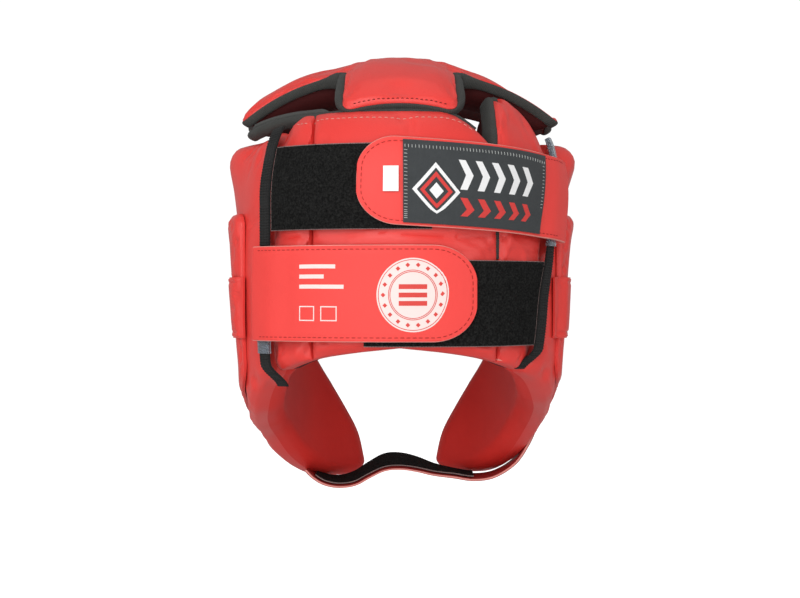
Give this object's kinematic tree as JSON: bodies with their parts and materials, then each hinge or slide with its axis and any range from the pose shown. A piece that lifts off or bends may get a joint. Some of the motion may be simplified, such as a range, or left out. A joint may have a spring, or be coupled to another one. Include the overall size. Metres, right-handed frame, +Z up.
{
  "type": "boxing headgear",
  "caption": "Open-face padded head guard with a cross-shaped crown, ear and cheek padding, two hook and loop straps behind the head and a strap under the chin.",
  "frame": {"origin": "the head seat, where the crown pad rests on the top of the wearer's head", "axes": "+Z up, the face looks along -Y, the back of the head is towards +Y and the wearer's left is +X"},
  "size_m": [0.2065, 0.2487, 0.2665],
  "materials": {
    "red_leather": "smooth red synthetic leather with a soft sheen",
    "deep_red_leather": "dark red synthetic leather, matt",
    "grey_binding": "dark grey woven binding tape",
    "black_tape": "black loop tape",
    "black_elastic": "black ribbed elastic",
    "label_cloth": "dark slate woven label",
    "tag_cloth": "white satin tag",
    "clear_plastic": "clear soft plastic sleeve"
  },
  "bodies": {
    "root": {"crown_pad": "red_leather", "crown_binding": "grey_binding", "rear_pad": "red_leather", "rear_flap_left": "red_leather", "rear_flap_right": "red_leather", "rear_binding": "grey_binding", "vent_rim_left": "grey_binding", "flap_binding_right": "grey_binding", "side_pad_left": "red_leather", "side_pad_right": "red_leather", "forehead_pad": "red_leather", "forehead_binding": "grey_binding", "ear_guard_left": "red_leather", "ear_guard_right": "red_leather", "ear_band_left": "red_leather", "ear_band_right": "red_leather", "elastic_left": "black_elastic", "elastic_right": "black_elastic", "sleeve_left": "clear_plastic", "sleeve_right": "clear_plastic", "upper_strap": "red_leather", "upper_loop_patch": "black_tape", "lower_strap": "red_leather", "lower_loop_patch": "black_tape", "label": "label_cloth", "size_tag": "tag_cloth", "chin_strap": "deep_red_leather", "chin_loop_tape": "black_tape"}
  },
  "joints": []
}
